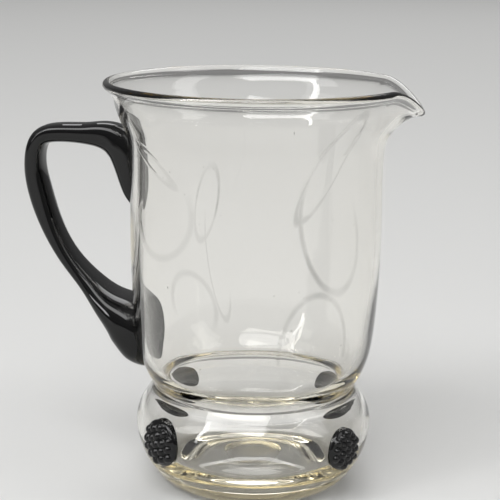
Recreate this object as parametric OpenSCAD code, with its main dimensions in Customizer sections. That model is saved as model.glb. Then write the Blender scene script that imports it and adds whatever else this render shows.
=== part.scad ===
// Blown clear-glass jug: flared rim with a pulled spout, straight barrel, pinched waist
// and hollow foot bulb, with an applied black glass handle and four raspberry prunts.
// Millimetres, +Z up, spout towards +X, handle towards -X, base ring on z = 0.

/* [Body] */
// Height of the rim's centre line above the table
rim_z = 177.7; // [150:0.1:210]
// Radius of the rim's centre line
rim_r = 65; // [60:0.5:75]
// Outside radius of the barrel
barrel_r = 55.4; // [52:0.1:58]
// Outside radius of the pinched waist
waist_r = 44.5; // [42.5:0.1:47]
// Outside radius of the foot bulb
bulb_r = 52.9; // [50:0.1:57]
// Height of the waist above the table
waist_z = 43.9; // [41:0.1:49]
// Wall of the barrel
wall = 3.3; // [2.6:0.1:4.2]
// Wall at the pinched waist
waist_wall = 5.2; // [4.4:0.1:6.2]
// Wall of the foot bulb
bulb_wall = 2.6; // [2:0.1:3.4]
// Height of the inside floor over the table, in the middle
floor_z = 10.4; // [9.4:0.1:12]
// Depth of the gutter around the raised middle of the floor
floor_dish = 2.1; // [1.5:0.1:2.6]
// Height of the pushed-up base at its middle
kick_z = 6.0; // [3:0.1:7]
// Radius of the ground pontil mark
pontil_r = 12.4; // [9:0.1:15]
// Depth of the ground pontil mark
pontil_cut = 0.6; // [0.3:0.1:1]

/* [Rim and spout] */
// Radius of the fire-polished rim bead
bead_r = 1.8; // [1.5:0.1:2.2]
// How far the spout's tip is pulled out of the rim circle
spout_out = 5.4; // [4:0.1:9]
// How far the spout's tip is turned down
spout_drop = 10.5; // [8:0.1:12]
// Half of the angle that the spout takes up on the rim
spout_half = 30; // [25:1:36]

/* [Handle] */
// Angle of the handle behind the line through the spout
handle_turn = 7; // [-10:0.5:10]
// Reach of the middle of the grip from the axis
grip_reach = 101; // [94:0.5:108]
// Width of the grip
grip_w = 14.5; // [11:0.1:18]
// Thickness of the grip
grip_t = 9; // [7:0.1:11]
// Width of the lower pad
pad_w = 36; // [28:0.5:42]
// Thickness of the lower pad
pad_t = 20; // [16:0.5:23]

/* [Prunts] */
// Angle of the prunts from the spout
prunt_turn = 43; // [38:0.5:50]
// Height of the prunts' centres
prunt_z = 26; // [23:0.5:28]
// Radius of a prunt's disc
prunt_r = 9.9; // [8.5:0.1:11]
// How far the prunt's dome stands off the bulb
prunt_h = 3; // [2.6:0.1:3.6]
// Radius of one bump
bump_r = 2.15; // [1.8:0.05:2.4]

/* [Hidden] */
clear_glass = [0.90, 0.92, 0.86, 0.35];
black_glass = [0.05, 0.05, 0.05];
seat_gap = 0.02;                    // between the wall and what is stuck onto it
round_fn = 120;

function mix(a, b, t) = a + (b - a) * t;

// Smooth curve through points, with n steps in each span
function spline_at(p, i, t) = let (
    a = p[max(i - 1, 0)], b = p[i], c = p[i + 1], d = p[min(i + 2, len(p) - 1)])
    0.5 * (2 * b + (c - a) * t + (2 * a - 5 * b + 4 * c - d) * t * t + (3 * b - a - 3 * c + d) * t * t * t);
function smooth(p, n) = [for (i = [0:len(p) - 2]) for (k = [0:n - 1]) spline_at(p, i, k / n), p[len(p) - 1]];

// Unit normal of a path at point i, to the left of its run
function left_of(p, i) = let (
    d = p[min(i + 1, len(p) - 1)] - p[max(i - 1, 0)], e = [d[0], d[1]]) [-e[1], e[0]] / norm(e);
function flat(p) = [for (q = p) [q[0], q[1]]];
function reversed(p) = [for (i = [len(p) - 1:-1:0]) p[i]];

// The wall from the base ring up: radius, height, thickness. The bulb's and the barrel's radii
// run from the waist's; heights run from the table to the waist and on to the rim. The glass
// gathers in a ring inside the waist, quickly below it and more slowly above it.
function bulb(u) = mix(waist_r, bulb_r, u);
function tube(u) = mix(waist_r, barrel_r, u);
function low(v) = waist_z * v;
function high(v) = mix(waist_z, rim_z, v);
function under(t) = mix(bulb_wall, waist_wall, t);
function over(t) = mix(wall, waist_wall, t);
lip_from = 0.62;                    // share of the height above the waist where the lip starts
base_wall = [
    [bulb_r * 0.70, 0], [bulb_r * 0.786, low(0.05)], [bulb_r * 0.878, low(0.175)], [bulb_r * 0.93, low(0.28)]];
side_wall = [
    [bulb_r * 0.982, low(0.45), bulb_wall], [bulb_r, low(0.62), bulb_wall],
    [bulb(0.77), low(0.793), bulb_wall], [bulb(0.56), low(0.86), under(0.1)],
    [bulb(0.33), low(0.923), under(0.19)], [bulb(0.147), low(0.968), under(0.38)], [waist_r, waist_z, waist_wall],
    [tube(0.1), high(0.013), over(0.68)], [tube(0.22), high(0.0285), over(0.58)],
    [tube(0.39), high(0.0555), over(0.43)], [tube(0.61), high(0.103), over(0.3)],
    [tube(0.82), high(0.207), over(0.16)], [tube(0.95), high(0.37), wall], [tube(1), high(0.53), wall],
    [tube(0.985), high(lip_from), wall]];
function dish(u) = floor_z - u * floor_dish;
floor_line = [[0.01, floor_z], [bulb_r * 0.18, dish(0.07)], [bulb_r * 0.36, dish(0.43)], [bulb_r * 0.52, dish(0.95)],
    [bulb_r * 0.66, dish(1)], [bulb_r * 0.78 - bulb_wall, dish(0.43)], [bulb_r * 0.87 - bulb_wall, dish(-0.76)],
    [bulb_r * 0.935 - bulb_wall, dish(-2.4)]];
outside = smooth(concat(base_wall, flat(side_wall)), 4);
inside = smooth(concat(floor_line, [for (i = [0:len(side_wall) - 1])
    flat(side_wall)[i] + side_wall[i][2] * left_of(side_wall, i)]), 4);
pontil_z = kick_z + pontil_cut;
pontil = [[0, floor_z], [0, pontil_z], [pontil_r - pontil_cut, pontil_z], [pontil_r, kick_z]];
kick = [[pontil_r + pontil_cut, kick_z], [bulb_r * 0.38, kick_z * 0.83], [bulb_r * 0.49, kick_z * 0.53],
    [bulb_r * 0.58, kick_z * 0.2], [bulb_r * 0.64, kick_z * 0.03], [bulb_r * 0.662, 0]];

// The lip: outside of the plain rim, and of the spout along its middle
function flare(u) = mix(barrel_r, rim_r, u);
function tip(u) = rim_r + u * spout_out;
tip_z = rim_z - spout_drop;
plain_lip = [[flare(-0.02), high(lip_from)], [flare(-0.04), high(0.72)], [flare(0), high(0.79)],
    [flare(0.14), high(0.842)], [flare(0.40), high(0.884)], [flare(0.60), high(0.922)],
    [flare(0.84), high(0.972)]];
tip_lip = [[flare(-0.02), high(lip_from)], [flare(-0.04), high(0.72)], [flare(0), high(0.79)],
    [flare(0.18), high(0.845)], [flare(0.62), high(0.878)], [tip(0.12), tip_z - 1.6 * bead_r],
    [tip(0.85), tip_z - 0.97 * bead_r]];

// How much a column of the lip is pulled: pointed outwards, broader downwards
blunt = 3;                          // degrees over which the tip is rounded
function arch(a) = sqrt(a * a + blunt * blunt) - blunt;
function pull(a) = max(0, 1 - arch(a) / arch(spout_half));
function lip_outside(a) = let (wr = pow(pull(a), 1.9), wz = pow(pull(a), 1.6))
    smooth([for (i = [0:len(plain_lip) - 1]) [
        mix(plain_lip[i][0], tip_lip[i][0], wr), mix(plain_lip[i][1], tip_lip[i][1], wz)]], 2);
function lip_inside(p) = [for (i = [0:len(p) - 1]) let (t = mix(wall, 1.6 * bead_r, i / (len(p) - 1)))
    p[i] + t * left_of(p, i)];
function bead(a) = let (
    wr = pow(pull(a), 1.9), wz = pow(pull(a), 1.6), lean = mix(68, 12, wz),
    c = [tip(wr), rim_z - wz * spout_drop])
    [for (k = [-105:30:105]) c + bead_r * [cos(lean + k), sin(lean + k)]];

// The lip's foot runs inside the wall below, so that the two join in one piece of glass
inset = 0.05;
function column(a) = let (p = lip_outside(a), q = lip_inside(p)) concat(
    [p[0] - [inset, wall / 2]], [for (i = [1:len(p) - 1]) p[i]], bead(a),
    [for (i = [len(q) - 1:-1:1]) q[i]], [q[0] + [2 * inset, -wall / 2]]);
turns = concat([for (a = [-spout_half:2:spout_half - 2]) a],
    [for (i = [0:49]) spout_half + i * (360 - 2 * spout_half) / 50]);
function from_spout(a) = a > 180 ? a - 360 : a;

// Two triangles for each cell of a grid whose n rows of m points both close on themselves
function skin(n, m) = [for (i = [0:n - 1]) for (j = [0:m - 1]) let (
    a = i * m + j, b = (i + 1) % n * m + j, c = (i + 1) % n * m + (j + 1) % m, d = i * m + (j + 1) % m)
    each [[a, c, b], [a, d, c]]];

module lip() {
    columns = [for (a = turns) column(from_spout(a))];
    polyhedron([for (i = [0:len(turns) - 1]) let (t = turns[i])
        for (p = columns[i]) [p[0] * cos(t), p[0] * sin(t), p[1]]],
        skin(len(turns), len(columns[0])), convexity = 8);
}

module vessel() {
    color(clear_glass) union() {
        rotate_extrude($fn = round_fn)
            polygon(concat(pontil, smooth(kick, 3), outside, reversed(inside)));
        lip();
    }
}

// The outside of the wall as a solid, which shapes what is stuck onto it
module wall_form() {
    rotate_extrude($fn = round_fn) polygon(concat([[0, 0]],
        [for (p = concat(outside, [for (q = lip_outside(180)) if (q[1] > high(lip_from)) q])) p + [seat_gap, 0]],
        [[0, high(0.972)]]));
}

// The handle as a path from the upper pad over the arm and down the grip to the lower pad:
// reach, height, thickness, width. Reaches run from the wall to the grip, heights with the body.
function reach(u) = mix(barrel_r, grip_reach, u);
function wide(u) = mix(grip_w, pad_w, u);
function thick(u) = mix(grip_t, pad_t, u);
handle_path = [
    [reach(-0.033), high(0.571), 3.8, wide(-0.2)], [reach(0.016), high(0.65), 8.5, wide(0.07)],
    [reach(0.069), high(0.738), thick(0.29), wide(0.12)], [reach(0.14), high(0.793), thick(0.48), wide(0.1)],
    [reach(0.246), high(0.813), thick(0.36), wide(0.04)], [reach(0.449), high(0.82), thick(0.07), grip_w],
    [reach(0.739), high(0.82), thick(-0.05), grip_w], [reach(0.92), high(0.803), thick(-0.08), grip_w],
    [reach(1), high(0.732), thick(-0.07), grip_w], [reach(0.963), high(0.628), thick(0.04), grip_w],
    [reach(0.847), high(0.508), thick(-0.05), wide(0.02)], [reach(0.661), high(0.395), thick(-0.16), wide(0.1)],
    [reach(0.428), high(0.305), thick(-0.05), wide(0.33)], [reach(0.236), high(0.241), thick(0.39), wide(0.71)],
    [reach(0.036), high(0.184), pad_t, pad_w], [reach(-0.078), high(0.103), thick(0.66), wide(0.82)],
    [reach(-0.181), high(0.031), thick(-0.04), wide(0.3)]];
sides = 20;
// Cross-section between an ellipse and a box
function soft(c) = sign(c) * pow(abs(c), 0.72);
function section(p, i) = let (n = left_of(p, i), c = flat(p)[i], w = p[i][3], t = p[i][2])
    [for (k = [0:sides - 1]) let (a = 360 * (k + 0.5) / sides, q = c + n * soft(cos(a)) * t / 2)
    [-q[0], soft(sin(a)) * w / 2, q[1]]];

module handle() {
    path = smooth(handle_path, 4);
    n = len(path);
    color(black_glass) difference() {
        rotate([0, 0, -handle_turn])
            polyhedron([for (i = [0:n - 1]) each section(path, i)], concat(
                [[for (k = [0:sides - 1]) k], [for (k = [sides - 1:-1:0]) (n - 1) * sides + k]],
                [for (i = [0:n - 2]) for (k = [0:sides - 1]) let (
                    a = i * sides + k, b = i * sides + (k + 1) % sides, c = a + sides, d = b + sides)
                    each [[a, c, b], [b, c, d]]]), convexity = 8);
        wall_form();
    }
}

// A raspberry prunt: a domed disc with round bumps in rings of six and twelve
function bumps(r) = concat([[0, 0]], [for (k = [0:5]) 0.44 * r * [cos(60 * k + 8), sin(60 * k + 8)]],
    [for (k = [0:11]) 0.80 * r * [cos(30 * k + 20), sin(30 * k + 20)]]);
module prunt(turn, size, raise) {
    r = prunt_r * size;
    dome_rise = prunt_r / 4;        // from the disc's edge to the middle
    dome_r = (r * r + dome_rise * dome_rise) / (2 * dome_rise);
    dome_at = bulb_r + prunt_h - dome_r;
    color(black_glass) difference() {
        rotate([0, 0, turn]) translate([0, 0, prunt_z + raise * prunt_r]) rotate([0, 90, 0]) union() {
            intersection() {
                translate([0, 0, dome_at]) sphere(dome_r, $fn = 72);
                translate([0, 0, bulb_r - r / 2]) cylinder(h = r, r = r, $fn = 72);
            }
            for (p = bumps(r))
                translate([p[0], p[1], dome_at + sqrt(dome_r * dome_r - p * p) - 0.35 * bump_r])
                    sphere(bump_r * size, $fn = 24);
        }
        wall_form();
    }
}
module prunt_front_left() { prunt(turn = prunt_turn - 178.5, size = 1.04, raise = 0.06); }
module prunt_front_right() { prunt(turn = prunt_turn - 82.5, size = 0.93, raise = -0.07); }
module prunt_back_left() { prunt(turn = prunt_turn + 95.5, size = 1.01, raise = 0.01); }
module prunt_back_right() { prunt(turn = prunt_turn + 0.5, size = 1.01, raise = -0.08); }

vessel();
handle();
prunt_front_left();
prunt_front_right();
prunt_back_left();
prunt_back_right();
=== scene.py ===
"""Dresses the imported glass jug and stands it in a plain, pale studio.

The jug is blown clear glass with a pulled spout, a pinched waist over a hollow foot bulb,
an applied black glass handle and four black raspberry prunts. Sizes are in millimetres, as
on the drawing, and are turned into metres where the meshes are made. Sizes inside materials
and in the studio are in metres.
"""

import logging
import math
from dataclasses import astuple, dataclass, field
from enum import Enum
from typing import Sequence

import bpy
import numpy as np
from mathutils import Matrix, Vector


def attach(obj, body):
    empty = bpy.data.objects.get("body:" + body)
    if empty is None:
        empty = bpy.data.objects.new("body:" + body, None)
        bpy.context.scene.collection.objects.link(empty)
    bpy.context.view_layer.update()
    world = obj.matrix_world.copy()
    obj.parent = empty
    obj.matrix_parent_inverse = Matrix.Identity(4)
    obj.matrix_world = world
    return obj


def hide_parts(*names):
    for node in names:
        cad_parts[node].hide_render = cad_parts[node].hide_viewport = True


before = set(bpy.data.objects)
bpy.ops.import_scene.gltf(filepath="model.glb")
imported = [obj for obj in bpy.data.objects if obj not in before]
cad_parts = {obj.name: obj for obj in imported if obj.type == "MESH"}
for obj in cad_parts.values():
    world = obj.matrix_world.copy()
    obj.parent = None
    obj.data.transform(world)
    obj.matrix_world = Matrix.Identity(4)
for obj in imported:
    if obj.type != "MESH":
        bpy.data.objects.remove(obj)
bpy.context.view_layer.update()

MM = 0.001
PROFILE_STEPS = 150
FINE_STEPS = 600
SEED_DRAW = 21
STAMP_DRAW = 7
CORD_INPUTS = ("Turn", "Height", "Half Turn", "Half Height", "Line", "Slant", "Open")
Face = tuple[int, ...]
Point = tuple[float, float, float]
Socket = bpy.types.NodeSocket
log = logging.getLogger("glass_jug")


class Slot(Enum):
    """The two glasses that the jug is made of, each with a name."""

    CLEAR = "clear_glass"
    BLACK = "black_glass"


class Place(Enum):
    """Where each prunt sits: turn from the spout, size and rise as shares of the plain prunt."""

    FRONT_LEFT = (-135.5, 1.04, 0.06)
    FRONT_RIGHT = (-39.5, 0.93, -0.07)
    BACK_LEFT = (138.5, 1.01, 0.01)
    BACK_RIGHT = (43.5, 1.01, -0.08)

    @property
    def node(self) -> str:
        """Returns the name of the CAD node that this prunt stands for."""
        return "prunt_" + self.name.lower()


def mix(a: float, b: float, share: float) -> float:
    """Returns the value that lies a share of the way from a to b."""
    return a + (b - a) * share


def around(across: int, start: float = 0.0) -> np.ndarray:
    """Returns even turns in radians for a ring of points that starts a part of a step on."""
    return 2 * math.pi * (np.arange(across) + start) / across


def spun(points: np.ndarray, turn: float) -> np.ndarray:
    """Turns points about the jug's axis.

    Args:
        points: rows of x, y and z.
        turn: the turn in degrees, anticlockwise from above.

    Returns:
        The turned points.
    """
    a = math.radians(turn)
    x, y, z = points.T
    return np.stack([x * math.cos(a) - y * math.sin(a), x * math.sin(a) + y * math.cos(a), z], axis=1)


def fair_curve(points: Sequence[Sequence[float]], steps: int) -> np.ndarray:
    """Draws one fair curve through points, with a curvature that never jumps.

    Args:
        points: rows of numbers, the first two of which are the place of a point.
        steps: how many equal steps the curve is cut into.

    Returns:
        The curve as steps + 1 rows with as many columns as the points.
    """
    knots = np.asarray(points, float)
    run = np.concatenate([[0.0], np.cumsum(np.linalg.norm(np.diff(knots[:, :2], axis=0), axis=1))])
    gap = np.diff(run)
    last = len(knots) - 1
    system = np.eye(last + 1)
    kinks = np.zeros_like(knots)
    for i in range(1, last):
        system[i, i - 1 : i + 2] = gap[i - 1], 2 * (gap[i - 1] + gap[i]), gap[i]
        kinks[i] = 6 * ((knots[i + 1] - knots[i]) / gap[i] - (knots[i] - knots[i - 1]) / gap[i - 1])
    bend = np.linalg.solve(system, kinks)
    at = np.linspace(0, run[-1], steps + 1)
    i = np.clip(np.searchsorted(run, at, side="right") - 1, 0, last - 1)
    before, after, width = (run[i + 1] - at)[:, None], (at - run[i])[:, None], gap[i][:, None]
    cubic = (bend[i] * before**3 + bend[i + 1] * after**3) / (6 * width)
    from_left = (knots[i] / width - bend[i] * width / 6) * before
    from_right = (knots[i + 1] / width - bend[i + 1] * width / 6) * after
    return cubic + from_left + from_right


def left_of(path: np.ndarray) -> np.ndarray:
    """Finds which way is left along a path.

    Args:
        path: rows of numbers, the first two of which are the place of a point.

    Returns:
        The unit normals to the left of the path's run, one for each of its points.
    """
    run = np.vstack([path[1] - path[0], path[2:] - path[:-2], path[-1] - path[-2]])[:, :2]
    run = run / np.linalg.norm(run, axis=1)[:, None]
    return np.stack([-run[:, 1], run[:, 0]], axis=1)


def make_piece(name: str, verts: np.ndarray, faces: Sequence[Face]) -> bpy.types.Object:
    """Makes a smooth-shaded mesh object.

    Args:
        name: name of the piece.
        verts: its points in millimetres.
        faces: its faces as rows of point numbers, seen anticlockwise from outside.

    Returns:
        The new object, linked to the scene.
    """
    mesh = bpy.data.meshes.new(name)
    mesh.from_pydata((np.asarray(verts) * MM).tolist(), [], faces)
    mesh.validate()
    mesh.polygons.foreach_set("use_smooth", np.ones(len(mesh.polygons), bool))
    mesh.update()
    piece = bpy.data.objects.new(name, mesh)
    bpy.context.scene.collection.objects.link(piece)
    return piece


def skin(rings: int, across: int, first: int = 0) -> list[Face]:
    """Joins rings of points into a skin of four-sided faces.

    Args:
        rings: how many rings there are.
        across: how many points each ring has, all the way round.
        first: number of the first ring's first point.

    Returns:
        The faces.
    """
    faces = []
    for low in range(first, first + (rings - 1) * across, across):
        high = low + across
        for j in range(across):
            k = (j + 1) % across
            faces.append((low + j, low + k, high + k, high + j))
    return faces


def fan(hub: int, first: int, across: int, forward: bool) -> list[Face]:
    """Joins a ring of points to one point in its middle.

    Args:
        hub: number of the point in the middle.
        first: number of the ring's first point.
        across: how many points the ring has.
        forward: whether the faces run the same way round as the ring.

    Returns:
        The three-sided faces.
    """
    rim = [(first + j, first + (j + 1) % across) for j in range(across)]
    return [(hub, a, b) if forward else (hub, b, a) for a, b in rim]


def caps(rings: int, across: int, first: int = 0) -> list[Face]:
    """Closes both ends of a skin, as skin() makes it, with one face each.

    Args:
        rings: how many rings there are.
        across: how many points each ring has.
        first: number of the first ring's first point.

    Returns:
        The two end faces.
    """
    last = first + (rings - 1) * across
    return [tuple(first + k for k in reversed(range(across))), tuple(last + k for k in range(across))]


@dataclass
class BlownWall:
    """Profile of the vessel's wall, from the ground pontil mark round to the inside floor.

    The spout's half width and its blunt tip are in degrees of turn, and so are the bead's arc
    and its lean at the rim and in the spout. The wall under the bead is in bead radii.
    """

    rim_z: float = 177.7
    rim_r: float = 65.0
    barrel_r: float = 55.4
    waist_r: float = 44.5
    bulb_r: float = 52.9
    waist_z: float = 43.9
    wall: float = 3.3
    waist_wall: float = 5.2
    bulb_wall: float = 2.6
    floor_z: float = 10.4
    floor_dish: float = 2.1
    kick_z: float = 6.0
    pontil_r: float = 12.4
    pontil_cut: float = 0.6
    bead_r: float = 1.8
    bead_lean: tuple[float, float] = (68.0, 12.0)
    bead_arc: float = 105.0
    under_bead: float = 1.6
    lip_from: float = 0.62
    spout_out: float = 5.4
    spout_drop: float = 10.5
    spout_half: float = 30.0
    spout_tip: float = 3.0
    out_power: float = 1.9
    down_power: float = 1.6
    crease_points: int = 9
    kick_steps: int = 24

    def low(self, share: float) -> float:
        """Returns a height between the table and the waist."""
        return self.waist_z * share

    def high(self, share: float) -> float:
        """Returns a height between the waist and the rim."""
        return mix(self.waist_z, self.rim_z, share)

    def flare(self, share: float) -> float:
        """Returns a radius between the barrel's and the rim's."""
        return mix(self.barrel_r, self.rim_r, share)

    def side(self) -> list[Point]:
        """Draws the outside from the bulb over the waist to the barrel.

        The rows of bulb and tube are shares: of the radius beyond the waist's, of the height
        and of the thickening at the waist.

        Returns:
            Rows of radius, height and the wall's thickness.
        """
        bulb = ((1.0, 0.62, 0.0), (0.77, 0.793, -0.08), (0.56, 0.86, -0.08), (0.33, 0.923, 0.0),
                (0.147, 0.968, 0.27), (0.0, 1.0, 1.0))
        tube = ((0.1, 0.013, 0.87), (0.22, 0.0285, 0.76), (0.39, 0.0555, 0.5), (0.61, 0.103, 0.28),
                (0.82, 0.207, 0.13), (0.95, 0.37, 0.0), (1.0, 0.53, 0.0), (0.985, self.lip_from, 0.0))
        rows = [(self.bulb_r * 0.982, self.low(0.45), self.bulb_wall)]
        rows += [(mix(self.waist_r, self.bulb_r, u), self.low(v), mix(self.bulb_wall, self.waist_wall, t))
                 for u, v, t in bulb]
        rows += [(mix(self.waist_r, self.barrel_r, u), self.high(v), mix(self.wall, self.waist_wall, t))
                 for u, v, t in tube]
        return rows

    def pull(self, turn: float) -> tuple[float, float]:
        """Works out how far the lip is pulled into the spout.

        Args:
            turn: turn from the spout's middle in degrees.

        Returns:
            The shares of the spout's reach and of its drop.
        """
        def arch(a: float) -> float:
            """Returns a distance from the spout's middle that starts gently."""
            return math.hypot(a, self.spout_tip) - self.spout_tip
        turn = (turn + 180) % 360 - 180
        share = max(0.0, 1 - arch(turn) / arch(self.spout_half))
        return share**self.out_power, share**self.down_power

    def lip(self, turn: float) -> list[Point]:
        """Draws the outside from the barrel to just under the bead.

        Args:
            turn: turn from the spout's middle in degrees.

        Returns:
            Rows of radius, height and the wall's thickness.
        """
        # Shares of the flare and of the height; for the tip, of the spout's reach and bead radii down.
        rim = ((-0.04, 0.72), (0.0, 0.79), (0.14, 0.842), (0.40, 0.884), (0.60, 0.922), (0.84, 0.972))
        spout = ((-0.04, 0.72), (0.0, 0.79), (0.18, 0.845), (0.62, 0.878))
        tip = ((0.12, self.under_bead), (0.85, 0.97))
        tip_z = self.rim_z - self.spout_drop
        plain = [(self.flare(u), self.high(v)) for u, v in rim]
        pulled = [(self.flare(u), self.high(v)) for u, v in spout]
        pulled += [(self.rim_r + u * self.spout_out, tip_z - v * self.bead_r) for u, v in tip]
        out, down = self.pull(turn)
        full = self.under_bead * self.bead_r
        return [(mix(a[0], b[0], out), mix(a[1], b[1], down), mix(self.wall, full, (i + 1) / len(plain)))
                for i, (a, b) in enumerate(zip(plain, pulled))]

    def bead(self, turn: float, points: int) -> np.ndarray:
        """Draws the fire-polished bead, which leans forward in the spout.

        Args:
            turn: turn from the spout's middle in degrees.
            points: how many points its arc has.

        Returns:
            Rows of radius and height, from outside to inside.
        """
        out, down = self.pull(turn)
        lean = mix(*self.bead_lean, down)
        a = np.radians(np.linspace(lean - self.bead_arc, lean + self.bead_arc, points))
        centre = np.array([self.rim_r + out * self.spout_out, self.rim_z - down * self.spout_drop])
        return centre + self.bead_r * np.stack([np.cos(a), np.sin(a)], axis=1)

    def underside(self) -> np.ndarray:
        """Draws the ground pontil mark and the pushed-up base.

        Returns:
            Rows of radius and height, from the axis to the base ring.
        """
        top = self.kick_z + self.pontil_cut
        ground = [(0.0, top), (self.pontil_r * 0.5, top), (self.pontil_r - self.pontil_cut, top)]
        # Shares of the bulb's radius and of the kick's height.
        slope = ((0.31, 0.94), (0.38, 0.83), (0.49, 0.53), (0.58, 0.2), (0.64, 0.03), (0.662, 0.0))
        kick = [(self.pontil_r, self.kick_z)] + [(self.bulb_r * u, self.kick_z * v) for u, v in slope]
        return np.vstack([ground, fair_curve(kick, self.kick_steps)])

    def outer(self, turn: float, steps: int = PROFILE_STEPS) -> np.ndarray:
        """Draws the outside, with a sharp crease at the waist.

        Args:
            turn: turn from the spout's middle in degrees.
            steps: about how many steps the outside is cut into, a third of them under the waist.

        Returns:
            Rows of radius and height, from the base ring to the bead.
        """
        # Shares of the bulb's radius and of the waist's height.
        foot = ((0.70, 0.0), (0.786, 0.05), (0.878, 0.175), (0.93, 0.28))
        path = [(self.bulb_r * u, self.low(v)) for u, v in foot]
        path += [(r, z) for r, z, _ in self.side() + self.lip(turn)] + [tuple(self.bead(turn, 2)[0])]
        waist = path.index((self.waist_r, self.waist_z))
        below, above = fair_curve(path[: waist + 1], steps // 3), fair_curve(path[waist:], steps - steps // 3)
        cut, t = max(1, steps // PROFILE_STEPS), np.linspace(0, 1, self.crease_points)[:, None]
        crease = (1 - t) ** 2 * below[-1 - cut] + 2 * t * (1 - t) * below[-1] + t**2 * above[cut]
        return np.vstack([below[: -1 - cut], crease, above[cut + 1 :]])

    def inner(self, turn: float, steps: int = PROFILE_STEPS) -> np.ndarray:
        """Draws the inside, which follows the outside at the wall's thickness.

        Args:
            turn: turn from the spout's middle in degrees.
            steps: how many steps the inside is cut into.

        Returns:
            Rows of radius and height, from the middle of the floor up to the bead.
        """
        # Shares of the bulb's radius and of the floor's dish, downwards.
        floor = ((0.0, 0.0), (0.18, 0.07), (0.36, 0.43), (0.52, 0.95), (0.66, 1.0))
        gutter = ((0.78, 0.43), (0.87, -0.76), (0.935, -2.4))
        line = [(self.bulb_r * u, self.floor_z - d * self.floor_dish) for u, d in floor]
        line += [(self.bulb_r * u - self.bulb_wall, self.floor_z - d * self.floor_dish) for u, d in gutter]
        wall = np.array(self.side() + self.lip(turn))
        offset = wall[:, :2] + wall[:, 2:] * left_of(wall)
        return fair_curve(line + offset.tolist() + [tuple(self.bead(turn, 2)[1])], steps)

    def outside_radius(self, z: np.ndarray) -> np.ndarray:
        """Returns the outside radius of the plain wall at heights, clear of the spout."""
        path = self.outer(180.0, FINE_STEPS)
        return np.interp(z, path[:, 1], path[:, 0])

    def inside_radius(self, z: np.ndarray) -> np.ndarray:
        """Finds the inside radius of the plain wall, clear of the spout.

        Args:
            z: heights above the floor's gutter.

        Returns:
            The radii.
        """
        path = self.inner(180.0, FINE_STEPS)
        rising = path[np.argmin(path[:, 1]) :]
        return np.interp(z, rising[:, 1], rising[:, 0])


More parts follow.
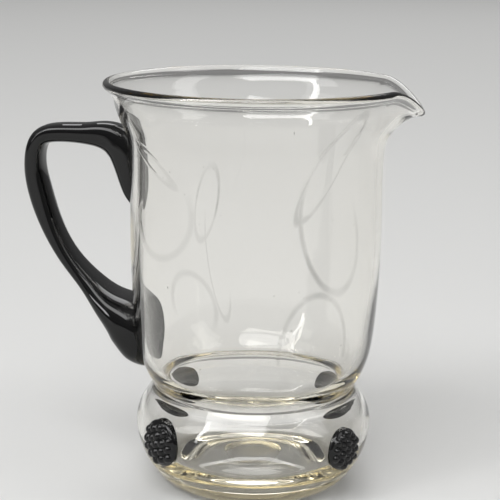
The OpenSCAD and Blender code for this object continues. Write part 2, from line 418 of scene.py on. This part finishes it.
@dataclass
class Vessel:
    """The blown clear body in one piece, with its spout, waves in the wall and seeds.

    Each wave has a relative size, its lobes round the jug, its rise per radian and a start.
    """

    wall: BlownWall
    wave: float = 0.09
    waves: tuple[tuple[float, float, float, float], ...] = (
        (1.0, 2.0, 23.0, 0.4), (0.7, 3.0, -17.0, 2.1), (0.45, 5.0, 11.0, 4.0), (0.3, -7.0, 8.0, 1.2))
    calm_low: float = 10.0
    calm_high: float = 14.0
    calm_fade: float = 15.0
    calm_r: float = 30.0
    spout_margin: float = 2.0
    spout_step: float = 1.0
    plain_columns: int = 199
    bead_points: int = 19
    seeds: int = 46
    seed_r: tuple[float, float] = (0.1, 0.27)
    seed_z: tuple[float, float] = (18.0, 150.0)
    seed_stretch: tuple[float, float] = (1.0, 2.4)
    seed_clear: tuple[float, float] = (0.9, 0.7)

    def turns(self) -> np.ndarray:
        """Sets out the columns of the mesh, closer together in the spout.

        Returns:
            Their turns from the spout's middle in degrees.
        """
        half = self.wall.spout_half + self.spout_margin
        plain = np.linspace(half, 360 - half, self.plain_columns)[:-1]
        return np.concatenate([np.arange(-half, half, self.spout_step), plain])

    def ripple(self, turn: float, z: np.ndarray) -> np.ndarray:
        """Works out how far the inside of the wall stands off its true profile.

        Args:
            turn: turn of the column in degrees.
            z: heights in millimetres.

        Returns:
            The radial offsets, faded out towards the floor and the rim.
        """
        a = math.radians(turn)
        low, high = self.wall.floor_z + self.calm_low, self.wall.rim_z - self.calm_high
        fade = np.clip((z - low) / self.calm_fade, 0, 1) * np.clip((high - z) / self.calm_fade, 0, 1)
        total = sum(size * np.sin(lobes * a + z / rise + start) for size, lobes, rise, start in self.waves)
        return self.wave * fade * total

    def column(self, turn: float) -> np.ndarray:
        """Draws one closed column of the wall, from under the jug round to its floor.

        Args:
            turn: turn of the column in degrees.

        Returns:
            Rows of radius and height, the first and the last of them on the axis.
        """
        inner = self.wall.inner(turn)[::-1]
        inner[:, 0] += self.ripple(turn, inner[:, 1]) * (inner[:, 0] > self.calm_r)
        bead = self.wall.bead(turn, self.bead_points)[1:-1]
        path = np.vstack([self.wall.underside(), self.wall.outer(turn), bead, inner])
        path[-1, 0] = 0.0
        return path

    def bubbles(self, first: int) -> tuple[np.ndarray, list[Face]]:
        """Makes the small bubbles that glassmakers call seeds, as hollows in the wall.

        Args:
            first: number of the first point that the bubbles get.

        Returns:
            Their points and faces; the faces look into the bubbles.
        """
        rng = np.random.default_rng(SEED_DRAW)
        verts, faces = [], []
        rings, across, pole = 7, 10, 0.18
        polar = np.linspace(pole, math.pi - pole, rings)
        equator = np.linspace(0, 2 * math.pi, across, endpoint=False)
        inside_gap, outside_gap = self.seed_clear
        for _ in range(self.seeds):
            a = math.radians(rng.uniform(0, 360))
            z = rng.uniform(*self.seed_z)
            out, ins = float(self.wall.outside_radius(z)), float(self.wall.inside_radius(z))
            r = rng.uniform(*self.seed_r)
            stretch = rng.uniform(*self.seed_stretch)
            depth = rng.uniform(ins + inside_gap, out - outside_gap)
            centre = np.array([depth * math.cos(a), depth * math.sin(a), z])
            ball = [[math.sin(p) * math.cos(q), math.sin(p) * math.sin(q), math.cos(p) * stretch]
                    for p in polar for q in equator]
            start = first + len(verts)
            verts += (centre + r * np.array(ball)).tolist()
            faces += skin(rings, across, start) + caps(rings, across, start)
        return np.array(verts), faces

    def build(self) -> bpy.types.Object:
        """Builds the vessel's mesh.

        Returns:
            The vessel as one object.
        """
        turns = self.turns()
        columns = np.array([self.column(t) for t in turns])
        a = np.radians(turns)[:, None]
        ring = columns[:, 1:-1]
        wall = np.stack([ring[:, :, 0] * np.cos(a), ring[:, :, 0] * np.sin(a), ring[:, :, 1]], axis=2)
        across, rings = len(turns), ring.shape[1]
        verts = wall.transpose(1, 0, 2).reshape(-1, 3)
        under, floor = len(verts), len(verts) + 1
        verts = np.vstack([verts, [0, 0, columns[0, 0, 1]], [0, 0, columns[0, -1, 1]]])
        faces = skin(rings, across) + fan(under, 0, across, False)
        faces += fan(floor, (rings - 1) * across, across, True)
        seed_verts, seed_faces = self.bubbles(len(verts))
        return make_piece("vessel_glass", np.vstack([verts, seed_verts]), faces + seed_faces)


@dataclass
class Handle:
    """The black bar from the upper pad over the arm and down the grip to the lower pad.

    Its two rounded tips are shares of the bar's length.
    """

    wall: BlownWall
    turn: float = 7.0
    grip_reach: float = 101.0
    grip_w: float = 14.5
    grip_t: float = 9.0
    pad_w: float = 36.0
    pad_t: float = 20.0
    tongue_t: tuple[float, float] = (3.8, 8.5)
    seat: float = 0.12
    squareness: float = 0.72
    top_tip: float = 0.05
    low_tip: float = 0.06
    tip_end: float = 0.03
    steps: int = 260
    across: int = 72

    def stations(self) -> list[tuple[float, float, float, float]]:
        """Works out the bar's course from the upper tongue to the tip of the lower pad.

        The rows of shares are: from the barrel out to the grip, from the waist up to the rim,
        and from the grip's to the pad's thickness and width. The two stations of the upper
        tongue have a thickness of their own.

        Returns:
            Rows of reach, height, thickness and width.
        """
        shares = ((-0.033, 0.571, None, -0.2), (0.016, 0.65, None, 0.07), (0.069, 0.738, 0.29, 0.12),
                  (0.14, 0.793, 0.48, 0.1), (0.246, 0.813, 0.36, 0.04), (0.449, 0.82, 0.07, 0.0),
                  (0.739, 0.82, -0.05, 0.0), (0.92, 0.803, -0.08, 0.0), (1.0, 0.732, -0.07, 0.0),
                  (0.963, 0.628, 0.04, 0.0), (0.847, 0.508, -0.05, 0.02), (0.661, 0.395, -0.16, 0.1),
                  (0.428, 0.305, -0.05, 0.33), (0.236, 0.241, 0.39, 0.71), (0.036, 0.184, 1.0, 1.0),
                  (-0.078, 0.103, 0.66, 0.82), (-0.181, 0.031, -0.04, 0.3))
        tongue = iter(self.tongue_t)
        return [(mix(self.wall.barrel_r, self.grip_reach, u), self.wall.high(v),
                 next(tongue) if t is None else mix(self.grip_t, self.pad_t, t),
                 mix(self.grip_w, self.pad_w, w))
                for u, v, t, w in shares]

    def build(self) -> bpy.types.Object:
        """Builds the handle's mesh, with both pads sunk into the skin of the clear wall.

        Returns:
            The handle as one object.
        """
        def soft(c: np.ndarray) -> np.ndarray:
            """Returns a sine or cosine that is drawn out towards a box."""
            return np.sign(c) * np.abs(c) ** self.squareness
        path = fair_curve(self.stations(), self.steps)
        a = around(self.across, 0.5)
        along = np.linspace(0.0, 1.0, len(path))[:, None]
        from_tip = np.clip(np.minimum(along / self.top_tip, (1 - along) / self.low_tip), 0.0, 1.0)
        taper = np.sqrt(1.0 - (1.0 - from_tip) ** 2).clip(self.tip_end)
        thick = path[:, 2:3] * taper * soft(np.cos(a)) / 2
        wide = path[:, 3:4] * taper * soft(np.sin(a)) / 2
        normal = left_of(path)
        reach = path[:, 0:1] + normal[:, 0:1] * thick
        height = path[:, 1:2] + normal[:, 1:2] * thick
        x, y, z = spun(np.stack([-reach, wide, height], axis=2).reshape(-1, 3), -self.turn).T
        seat = self.wall.outside_radius(z) - self.seat
        push = np.maximum(1.0, seat / np.hypot(x, y))
        verts = np.stack([x * push, y * push, z], axis=1)
        return make_piece("handle_bar", verts, skin(len(path), self.across) + caps(len(path), self.across))


@dataclass
class Prunt:
    """A raspberry prunt: a drop of black glass stamped with nineteen round berries."""

    wall: BlownWall
    place: Place
    centre_z: float = 26.0
    disc_r: float = 9.9
    height: float = 3.0
    dome: float = 0.25
    pitch: float = 3.75
    berry_r: float = 2.05
    stamp_turn: float = 8.0
    slip: float = 0.13
    swell: tuple[float, float] = (0.92, 1.06)
    sunk: float = 0.5
    edge: float = 0.8
    seat: float = 0.1
    groove: float = 0.14
    across: int = 168
    rings: int = 64
    back_step: int = 4

    @property
    def middle_z(self) -> float:
        """Returns the height of this prunt's centre."""
        return self.centre_z + self.place.value[2] * self.disc_r

    def berries(self) -> np.ndarray:
        """Sets out the berries of the hexagonal stamp, a little uneven as pressed.

        Returns:
            Rows of each berry's height and side step from the prunt's centre, and its radius.
        """
        size = self.place.value[1]
        pitch = self.pitch * size
        rng = np.random.default_rng(STAMP_DRAW + len(self.place.name))
        rows = [(0.0, 0.0)]
        for far, start in ((1.0, 0), (3**0.5, 30), (2.0, 0)):
            rows += [(far * pitch, math.radians(60 * k + start + self.stamp_turn)) for k in range(6)]
        centres = np.array([(d * math.cos(a), d * math.sin(a)) for d, a in rows])
        centres += rng.normal(0, self.slip, centres.shape)
        radii = self.berry_r * size * rng.uniform(*self.swell, len(rows))
        return np.column_stack([centres, radii])

    def crown(self, v: np.ndarray, u: np.ndarray, berries: np.ndarray) -> np.ndarray:
        """Works out how far out the stamped face stands at points of the disc.

        Args:
            v: heights from the prunt's centre.
            u: distances across it.
            berries: rows of centre and radius, as berries() gives them.

        Returns:
            Distances from the jug's axis along the prunt's own axis.
        """
        r = self.disc_r * self.place.value[1]
        rise = self.disc_r * self.dome
        dome_r = (r * r + rise * rise) / (2 * rise)
        dome_at = self.wall.bulb_r + self.height - dome_r
        rho = np.hypot(u, v)
        face = dome_at + np.sqrt(np.maximum(dome_r**2 - rho**2, 0.0))
        shoulder = np.maximum(rho - (r - self.edge), 0.0)
        face -= self.edge - np.sqrt(np.maximum(self.edge**2 - shoulder**2, 0.0))
        far_below = 5.0
        for bv, bu, br in berries:
            seat = dome_at + math.sqrt(dome_r**2 - bv * bv - bu * bu) - self.sunk
            room = br * br - (v - bv) ** 2 - (u - bu) ** 2
            ball = np.where(room > 0, seat + np.sqrt(np.maximum(room, 0.0)), face - far_below)
            face = 0.5 * (face + ball + np.sqrt((face - ball) ** 2 + self.groove**2))
        return face

    def bed(self, v: np.ndarray, u: np.ndarray) -> np.ndarray:
        """Returns how far out the bulb's skin stands under points of the disc."""
        radius = self.wall.outside_radius(self.middle_z + v) - self.seat
        return np.sqrt(np.maximum(radius**2 - u**2, 0.0))

    def build(self) -> bpy.types.Object:
        """Builds the prunt's mesh, seated in the skin of the foot bulb.

        Returns:
            The prunt as one object.
        """
        turn, size, _ = self.place.value
        a = around(self.across)
        far = np.sin(np.linspace(0.0, math.pi / 2, self.rings + 1))[1:] * (self.disc_r * size)
        v, u = np.outer(far, np.cos(a)), np.outer(far, np.sin(a))
        berries = self.berries()
        face, back = self.crown(v, u, berries), self.bed(v, u)
        skirt = [mix(face[-1], back[-1], s) for s in (0.25, 0.5, 0.75)] + [back[-1]]
        inward = list(range(self.rings - 1 - self.back_step, self.back_step - 1, -self.back_step))
        out = np.vstack([face, *skirt, back[inward]])
        up = np.vstack([v, *[v[-1]] * len(skirt), v[inward]])
        across = np.vstack([u, *[u[-1]] * len(skirt), u[inward]])
        middle = np.zeros(1)
        tip, root = self.crown(middle, middle, berries)[0], self.bed(middle, middle)[0]
        local = np.stack([out, across, self.middle_z + up], axis=2).reshape(-1, 3)
        local = np.vstack([local, [tip, 0, self.middle_z], [root, 0, self.middle_z]])
        faces = skin(len(out), self.across) + fan(len(local) - 2, 0, self.across, False)
        faces += fan(len(local) - 1, (len(out) - 1) * self.across, self.across, True)
        return make_piece(f"{self.place.node}_glass", spun(local, turn), faces)


class NodeSheet:
    """A short way to lay out shader nodes in a material or a node group."""

    def __init__(self, tree: bpy.types.NodeTree) -> None:
        """Starts on an empty sheet.

        Args:
            tree: the node tree to lay the nodes out in.
        """
        self.tree = tree
        tree.nodes.clear()

    def add(self, kind: str, **settings: object) -> bpy.types.Node:
        """Adds a node and sets its options.

        Args:
            kind: the node's type name.
            **settings: its options by name.

        Returns:
            The new node.
        """
        node = self.tree.nodes.new(kind)
        for key, value in settings.items():
            setattr(node, key, value)
        return node

    def link(self, source: Socket, target: Socket) -> None:
        """Joins an output to an input."""
        self.tree.links.new(source, target)

    def sum(self, operation: str, *terms: object) -> Socket:
        """Works out a number from others.

        Args:
            operation: name of the Math node's operation.
            *terms: sockets or plain numbers.

        Returns:
            The result's socket.
        """
        node = self.add("ShaderNodeMath", operation=operation)
        for slot, term in zip(node.inputs, terms):
            if isinstance(term, Socket):
                self.link(term, slot)
            else:
                slot.default_value = term
        return node.outputs[0]

    def length(self, a: Socket, b: Socket) -> Socket:
        """Returns the length of a step whose two sides are at right angles."""
        return self.sum("SQRT", self.sum("ADD", self.sum("MULTIPLY", a, a), self.sum("MULTIPLY", b, b)))

    def place(self) -> tuple[Socket, Socket, Socket]:
        """Finds where a point lies on the object.

        Returns:
            The sockets of its x, y and z in metres.
        """
        split = self.add("ShaderNodeSeparateXYZ")
        self.link(self.add("ShaderNodeTexCoord").outputs["Object"], split.inputs[0])
        return split.outputs[0], split.outputs[1], split.outputs[2]


def new_finish(name: str) -> tuple[bpy.types.Material, NodeSheet, bpy.types.Node]:
    """Starts a material with one shader on its surface.

    Args:
        name: name of the material.

    Returns:
        The material, its sheet of nodes and the shader.
    """
    material = bpy.data.materials.new(name)
    material.use_nodes = True
    sheet = NodeSheet(material.node_tree)
    shader = sheet.add("ShaderNodeBsdfPrincipled")
    sheet.link(shader.outputs[0], sheet.add("ShaderNodeOutputMaterial").inputs["Surface"])
    return material, sheet, shader


@dataclass(frozen=True)
class Cord:
    """A fine oval ridge that the blowing left on the outside of the wall, with a painted reflection streak
    along it.

    The turns are in radians from the spout and the heights in metres. The rest are shares of
    the oval's own size: half the width of its line, its rise over one half turn, and the
    height above its middle from which the line fades out. A negative half height turns the
    oval upside down.
    """

    turn: float = 0.0
    height: float = 0.1
    half_turn: float = 0.3
    half_height: float = 0.02
    line: float = 0.1
    slant: float = 0.0
    open_from: float = 0.4


class Effects:
    """Shader node groups for the finishes, each built once."""

    def __init__(self) -> None:
        """Builds the groups."""
        self.cord = self._cord()
        self.handling = self._handling()

    @staticmethod
    def _group(name: str, inputs: Sequence[tuple[str, float]],
               outputs: Sequence[str]) -> tuple[NodeSheet, bpy.types.Node, bpy.types.Node]:
        """Starts a group with named number sockets.

        Args:
            name: name of the group.
            inputs: names and plain values of its inputs.
            outputs: names of its outputs.

        Returns:
            The group's sheet, with the nodes of what is given and what results.
        """
        tree = bpy.data.node_groups.new(name, "ShaderNodeTree")
        for label, value in inputs:
            socket = tree.interface.new_socket(name=label, in_out="INPUT", socket_type="NodeSocketFloat")
            socket.default_value = value
        for label in outputs:
            tree.interface.new_socket(name=label, in_out="OUTPUT", socket_type="NodeSocketFloat")
        sheet = NodeSheet(tree)
        return sheet, sheet.add("NodeGroupInput"), sheet.add("NodeGroupOutput")

    def _cord(self) -> bpy.types.NodeTree:
        """Builds the group that marks one cord on the outside of the wall.

        Returns:
            The group; its ridge is 1 along the middle of the line and 0 away from it, and sets both the bump
            and the painted reflection streak.
        """
        inside_the_wall, fade_rate = 0.053, 2.0
        inputs = [*zip(CORD_INPUTS, astuple(Cord())), ("Skin", inside_the_wall)]
        sheet, given, result = self._group("wall_cord", inputs, ["Ridge"])
        turn, height, half_turn, half_height, line, slant, open_from, skin_r = given.outputs[: len(inputs)]
        x, y, z = sheet.place()
        du = sheet.sum("DIVIDE", sheet.sum("SUBTRACT", sheet.sum("ARCTAN2", y, x), turn), half_turn)
        dv = sheet.sum("DIVIDE", sheet.sum("SUBTRACT", z, height), half_height)
        dv = sheet.sum("SUBTRACT", dv, sheet.sum("MULTIPLY", du, slant))
        off = sheet.sum("ABSOLUTE", sheet.sum("SUBTRACT", sheet.length(du, dv), 1.0))
        off = sheet.sum("DIVIDE", off, line)
        ridge = sheet.sum("MAXIMUM", sheet.sum("SUBTRACT", 1.0, sheet.sum("MULTIPLY", off, off)), 0.0)
        above = sheet.sum("MAXIMUM", sheet.sum("SUBTRACT", dv, open_from), 0.0)
        fade = sheet.sum("MAXIMUM", sheet.sum("SUBTRACT", 1.0, sheet.sum("MULTIPLY", above, fade_rate)), 0.0)
        outside = sheet.sum("GREATER_THAN", sheet.length(x, y), skin_r)
        ridge = sheet.sum("MULTIPLY", sheet.sum("MULTIPLY", ridge, fade), outside)
        sheet.link(ridge, result.inputs["Ridge"])
        return sheet.tree

    def _handling(self) -> bpy.types.NodeTree:
        """Builds faint marks of handling: dull patches, fine rubs and dust specks.

        Returns:
            The group; each mark is 1 where it is strongest and 0 on clean glass.
        """
        inputs = [("Patch Scale", 30.0), ("Rub Scale", 260.0), ("Speck Scale", 900.0)]
        sheet, given, result = self._group("handling_marks", inputs, ["Dull", "Rubs", "Specks"])
        askew, detail = (0.3, 0.5, 0.2), 4.0
        place = sheet.add("ShaderNodeTexCoord").outputs["Object"]
        for scale, label, low, high, stretch in (("Patch Scale", "Dull", 0.48, 0.78, 1.0),
                                                 ("Rub Scale", "Rubs", 0.62, 0.74, 0.12),
                                                 ("Speck Scale", "Specks", 0.74, 0.80, 1.0)):
            turned = sheet.add("ShaderNodeMapping")
            turned.inputs["Rotation"].default_value = askew
            turned.inputs["Scale"].default_value = (1.0, stretch, 1.0)
            sheet.link(place, turned.inputs["Vector"])
            noise = sheet.add("ShaderNodeTexNoise")
            noise.inputs["Detail"].default_value = detail
            sheet.link(turned.outputs[0], noise.inputs["Vector"])
            sheet.link(given.outputs[scale], noise.inputs["Scale"])
            ramp = sheet.add("ShaderNodeMapRange", interpolation_type="SMOOTHSTEP")
            ramp.inputs["From Min"].default_value = low
            ramp.inputs["From Max"].default_value = high
            sheet.link(noise.outputs["Fac"], ramp.inputs["Value"])
            sheet.link(ramp.outputs["Result"], result.inputs[label])
        return sheet.tree


@dataclass(frozen=True)
class ClearGlass:
    """Clear blown glass, straw-coloured where it is thick, with faint cords and painted reflection streaks on
    the wall.
    """

    index: float = 1.5
    tint: tuple[float, float, float] = (0.965, 0.895, 0.66)
    depth: float = 22.0
    ridge: float = 0.00005
    # Strength of the painted reflection streaks along the cords, and the even share of it under the dull
    # patches.
    film: float = 0.42
    even_film: float = 0.45
    patches: float = 22.0
    rub_haze: float = 0.10
    speck_haze: float = 0.2
    ground_haze: float = 0.4
    ground_r: float = 0.0120
    ground_z: float = 0.0074
    cords: tuple[Cord, ...] = (
        Cord(-0.92, 0.1235, 0.270, 0.0255, 0.09, -0.3, 0.2),
        Cord(-0.97, 0.1500, 0.250, 0.0100, 0.12, 1.9, 3.0),
        Cord(-2.31, 0.1270, 0.300, 0.0175, 0.12, 0.1, 0.1),
        Cord(-1.89, 0.1360, 0.095, 0.0140, 0.13, 0.5, 0.7),
        Cord(-1.80, 0.1120, 0.100, 0.0180, 0.09, -0.9, -0.2),
        Cord(-2.00, 0.0920, 0.190, -0.0135, 0.13, 0.2, 0.1),
        Cord(-1.03, 0.0700, 0.300, -0.0270, 0.07, 0.0, -0.2),
        Cord(-2.39, 0.1480, 0.200, 0.0030, 0.35, -2.2, 3.0),
    )

    def material(self, effects: Effects) -> bpy.types.Material:
        """Builds the material.

        Args:
            effects: the shared node groups.

        Returns:
            The clear glass material.
        """
        material, sheet, glass = new_finish("clear_blown_glass")
        glass.inputs["Transmission Weight"].default_value = 1.0
        glass.inputs["IOR"].default_value = self.index
        marks = sheet.add("ShaderNodeGroup", node_tree=effects.handling)
        marks.inputs["Patch Scale"].default_value = self.patches
        haze = sheet.sum("MULTIPLY", marks.outputs["Rubs"], self.rub_haze)
        haze = sheet.sum("ADD", haze, sheet.sum("MULTIPLY", marks.outputs["Specks"], self.speck_haze))
        haze = sheet.sum("ADD", haze, sheet.sum("MULTIPLY", self.ground(sheet), self.ground_haze))
        sheet.link(haze, glass.inputs["Roughness"])
        ridges = self.ridges(sheet, effects)
        # Painted reflection: the base colour is darkened along the cords, more in the dull patches, to stand
        # in for light reflected in the wavy wall.
        painted_reflection_patches = sheet.sum("ADD", self.even_film, marks.outputs["Dull"])
        film = sheet.sum("MULTIPLY", sheet.sum("MULTIPLY", ridges, painted_reflection_patches), self.film)
        sheet.link(sheet.sum("SUBTRACT", 1.0, film), glass.inputs["Base Color"])
        bump = sheet.add("ShaderNodeBump")
        bump.inputs["Distance"].default_value = self.ridge
        sheet.link(ridges, bump.inputs["Height"])
        sheet.link(bump.outputs[0], glass.inputs["Normal"])
        tint = sheet.add("ShaderNodeVolumeAbsorption")
        tint.inputs["Color"].default_value = (*self.tint, 1.0)
        tint.inputs["Density"].default_value = self.depth
        sheet.link(tint.outputs[0], sheet.tree.nodes["Material Output"].inputs["Volume"])
        return material

    def ridges(self, sheet: NodeSheet, effects: Effects) -> Socket:
        """Lays out all the cords of the wall.

        Args:
            sheet: the material's sheet.
            effects: the shared node groups.

        Returns:
            A socket that is 1 along the cords and 0 elsewhere.
        """
        ridges = 0.0
        for cord in self.cords:
            loop = sheet.add("ShaderNodeGroup", node_tree=effects.cord)
            for label, value in zip(CORD_INPUTS, astuple(cord)):
                loop.inputs[label].default_value = value
            ridges = sheet.sum("MAXIMUM", ridges, loop.outputs["Ridge"])
        return ridges

    def ground(self, sheet: NodeSheet) -> Socket:
        """Marks the pontil scar, which is ground matt under the middle of the base.

        Args:
            sheet: the material's sheet.

        Returns:
            A socket that is 1 on the scar and 0 elsewhere.
        """
        x, y, z = sheet.place()
        inside = sheet.sum("LESS_THAN", sheet.length(x, y), self.ground_r)
        return sheet.sum("MULTIPLY", inside, sheet.sum("LESS_THAN", z, self.ground_z))


@dataclass(frozen=True)
class BlackGlass:
    """Opaque black glass, fire-polished, with faint marks of handling."""

    colour: tuple[float, float, float] = (0.002, 0.002, 0.0022)
    index: float = 1.45
    roughness: float = 0.02
    dull_haze: float = 0.05
    rub_haze: float = 0.12

    def material(self, effects: Effects) -> bpy.types.Material:
        """Builds the material.

        Args:
            effects: the shared node groups.

        Returns:
            The black glass material.
        """
        material, sheet, glass = new_finish("black_glass")
        glass.inputs["Base Color"].default_value = (*self.colour, 1.0)
        glass.inputs["IOR"].default_value = self.index
        marks = sheet.add("ShaderNodeGroup", node_tree=effects.handling)
        dull = sheet.sum("MULTIPLY", marks.outputs["Dull"], self.dull_haze)
        rubs = sheet.sum("MULTIPLY", marks.outputs["Rubs"], self.rub_haze)
        haze = sheet.sum("ADD", sheet.sum("ADD", self.roughness, dull), rubs)
        sheet.link(haze, glass.inputs["Roughness"])
        return material


@dataclass(frozen=True)
class PaleFloor:
    """Plain pale studio floor."""

    colour: tuple[float, float, float] = (0.66, 0.66, 0.65)
    roughness: float = 0.7

    def material(self) -> bpy.types.Material:
        """Builds the floor's material.

        Returns:
            The material.
        """
        material, _, paint = new_finish("pale_floor")
        paint.inputs["Base Color"].default_value = (*self.colour, 1.0)
        paint.inputs["Roughness"].default_value = self.roughness
        return material


@dataclass(frozen=True)
class Lamp:
    """A soft lamp: its name, its place and sides in metres, and its power in watts."""

    name: str
    place: Point
    sides: tuple[float, float]
    power: float

    def hang(self, target: Vector) -> bpy.types.Object:
        """Hangs the lamp.

        Args:
            target: the point that it shines at.

        Returns:
            The lamp.
        """
        data = bpy.data.lights.new(self.name, "AREA")
        data.shape = "RECTANGLE"
        data.size, data.size_y = self.sides
        data.energy = self.power
        lamp = bpy.data.objects.new(self.name, data)
        lamp.location = self.place
        lamp.rotation_euler = (target - Vector(self.place)).to_track_quat("-Z", "Y").to_euler()
        bpy.context.scene.collection.objects.link(lamp)
        return lamp


@dataclass
class Studio:
    """The floor, the soft lamps and the camera of the photograph."""

    eye_far: float = 0.600
    eye_turn: float = 3.0
    eye_z: float = 0.24686
    lens: float = 100.18
    sensor: float = 36.0
    sight: tuple[float, float] = (0.01, 50.0)
    pitch: float = 13.36
    yaw: float = -3.236
    roll: float = 0.759
    floor_r: float = 9.0
    floor_gap: float = 0.0001
    floor_points: int = 96
    horizon: float = 0.2
    zenith: float = 0.4
    aim_z: float = 0.09
    bounces: int = 24
    glossy_bounces: int = 12
    lamps: tuple[Lamp, ...] = (
        Lamp("lamp_key", (-3.1, -1.9, 3.4), (2.5, 3.2), 30.0),
        Lamp("lamp_fill", (3.6, -1.1, 2.8), (1.7, 3.6), 30.0),
        Lamp("lamp_back", (0.5, 3.7, 3.7), (4.0, 1.7), 64.0),
        Lamp("lamp_over", (-0.5, -1.3, 2.1), (2.4, 1.2), 42.0),
        Lamp("lamp_side", (-1.9, -1.5, 1.1), (0.16, 1.8), 8.0),
    )

    def floor(self) -> bpy.types.Object:
        """Lays the floor a hair under the jug's base ring.

        Returns:
            The floor.
        """
        a = around(self.floor_points)
        rim = np.stack([np.cos(a), np.sin(a), 0 * a], axis=1) * self.floor_r
        verts = (np.vstack([rim, [0, 0, 0]]) - [0, 0, self.floor_gap]) / MM
        floor = make_piece("studio_floor", verts, fan(self.floor_points, 0, self.floor_points, True))
        floor.data.materials.append(PaleFloor().material())
        return floor

    def light(self) -> None:
        """Hangs the soft lamps and sets the even light of the room, brighter overhead."""
        for lamp in self.lamps:
            lamp.hang(Vector((0, 0, self.aim_z)))
        world = bpy.data.worlds.new("studio_room")
        world.use_nodes = True
        sheet = NodeSheet(world.node_tree)
        way = sheet.add("ShaderNodeSeparateXYZ")
        sheet.link(sheet.add("ShaderNodeTexCoord").outputs["Generated"], way.inputs[0])
        glow = sheet.add("ShaderNodeMapRange", interpolation_type="SMOOTHSTEP")
        glow.inputs["To Min"].default_value = self.horizon
        glow.inputs["To Max"].default_value = self.zenith
        sheet.link(way.outputs["Z"], glow.inputs["Value"])
        room, out = sheet.add("ShaderNodeBackground"), sheet.add("ShaderNodeOutputWorld")
        room.inputs["Color"].default_value = (1.0, 1.0, 1.0, 1.0)
        sheet.link(glow.outputs["Result"], room.inputs["Strength"])
        sheet.link(room.outputs[0], out.inputs["Surface"])
        bpy.context.scene.world = world

    def camera(self) -> bpy.types.Object:
        """Sets the camera up where the photograph was taken from.

        Returns:
            The camera.
        """
        data = bpy.data.cameras.new("photo_camera")
        data.sensor_width, data.lens = self.sensor, self.lens
        data.clip_start, data.clip_end = self.sight
        camera = bpy.data.objects.new("photo_camera", data)
        turn, yaw, pitch = math.radians(self.eye_turn), math.radians(self.yaw), math.radians(self.pitch)
        eye = Matrix.Translation((self.eye_far * math.sin(turn), -self.eye_far * math.cos(turn), self.eye_z))
        ahead = Vector((math.sin(yaw) * math.cos(pitch), math.cos(yaw) * math.cos(pitch), -math.sin(pitch)))
        look = ahead.to_track_quat("-Z", "Y").to_matrix().to_4x4()
        camera.matrix_world = eye @ look @ Matrix.Rotation(math.radians(self.roll), 4, "Z")
        bpy.context.scene.collection.objects.link(camera)
        bpy.context.scene.camera = camera
        return camera

    def settings(self) -> None:
        """Sets the view to plain colours and lets light pass through all the glass."""
        scene = bpy.context.scene
        scene.view_settings.view_transform = "Standard"
        scene.cycles.max_bounces = self.bounces
        scene.cycles.transmission_bounces = self.bounces
        scene.cycles.glossy_bounces = self.glossy_bounces


@dataclass
class GlassJug:
    """The whole jug: its wall, its pieces and the nodes that they stand for."""

    wall: BlownWall = field(default_factory=BlownWall)

    def build(self) -> None:
        """Builds each piece, gives it its glass and hangs it on the jug's body."""
        effects = Effects()
        clear, black = ClearGlass().material(effects), BlackGlass().material(effects)
        self.hang(Vessel(self.wall).build(), "vessel", Slot.CLEAR, clear)
        self.hang(Handle(self.wall).build(), "handle", Slot.BLACK, black)
        for place in Place:
            self.hang(Prunt(self.wall, place).build(), place.node, Slot.BLACK, black)

    @staticmethod
    def hang(piece: bpy.types.Object, node: str, slot: Slot, material: bpy.types.Material) -> None:
        """Puts a piece in the place of its CAD node.

        Args:
            piece: the new piece.
            node: name of the CAD node that it stands for.
            slot: the glass that it is made of; not used.
            material: the material of that glass.
        """
        piece.data.materials.append(material)
        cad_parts[node].data.materials.clear()
        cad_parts[node].data.materials.append(material)
        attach(piece, "root")
        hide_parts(node)
        log.info("%s stands for node %s: %d faces", piece.name, node, len(piece.data.polygons))


def main() -> None:
    """Builds the studio and the jug."""
    logging.basicConfig(level=logging.INFO, format="%(name)s: %(message)s")
    studio = Studio()
    studio.camera()
    studio.floor()
    studio.light()
    studio.settings()
    GlassJug().build()


if __name__ == "__main__":
    main()
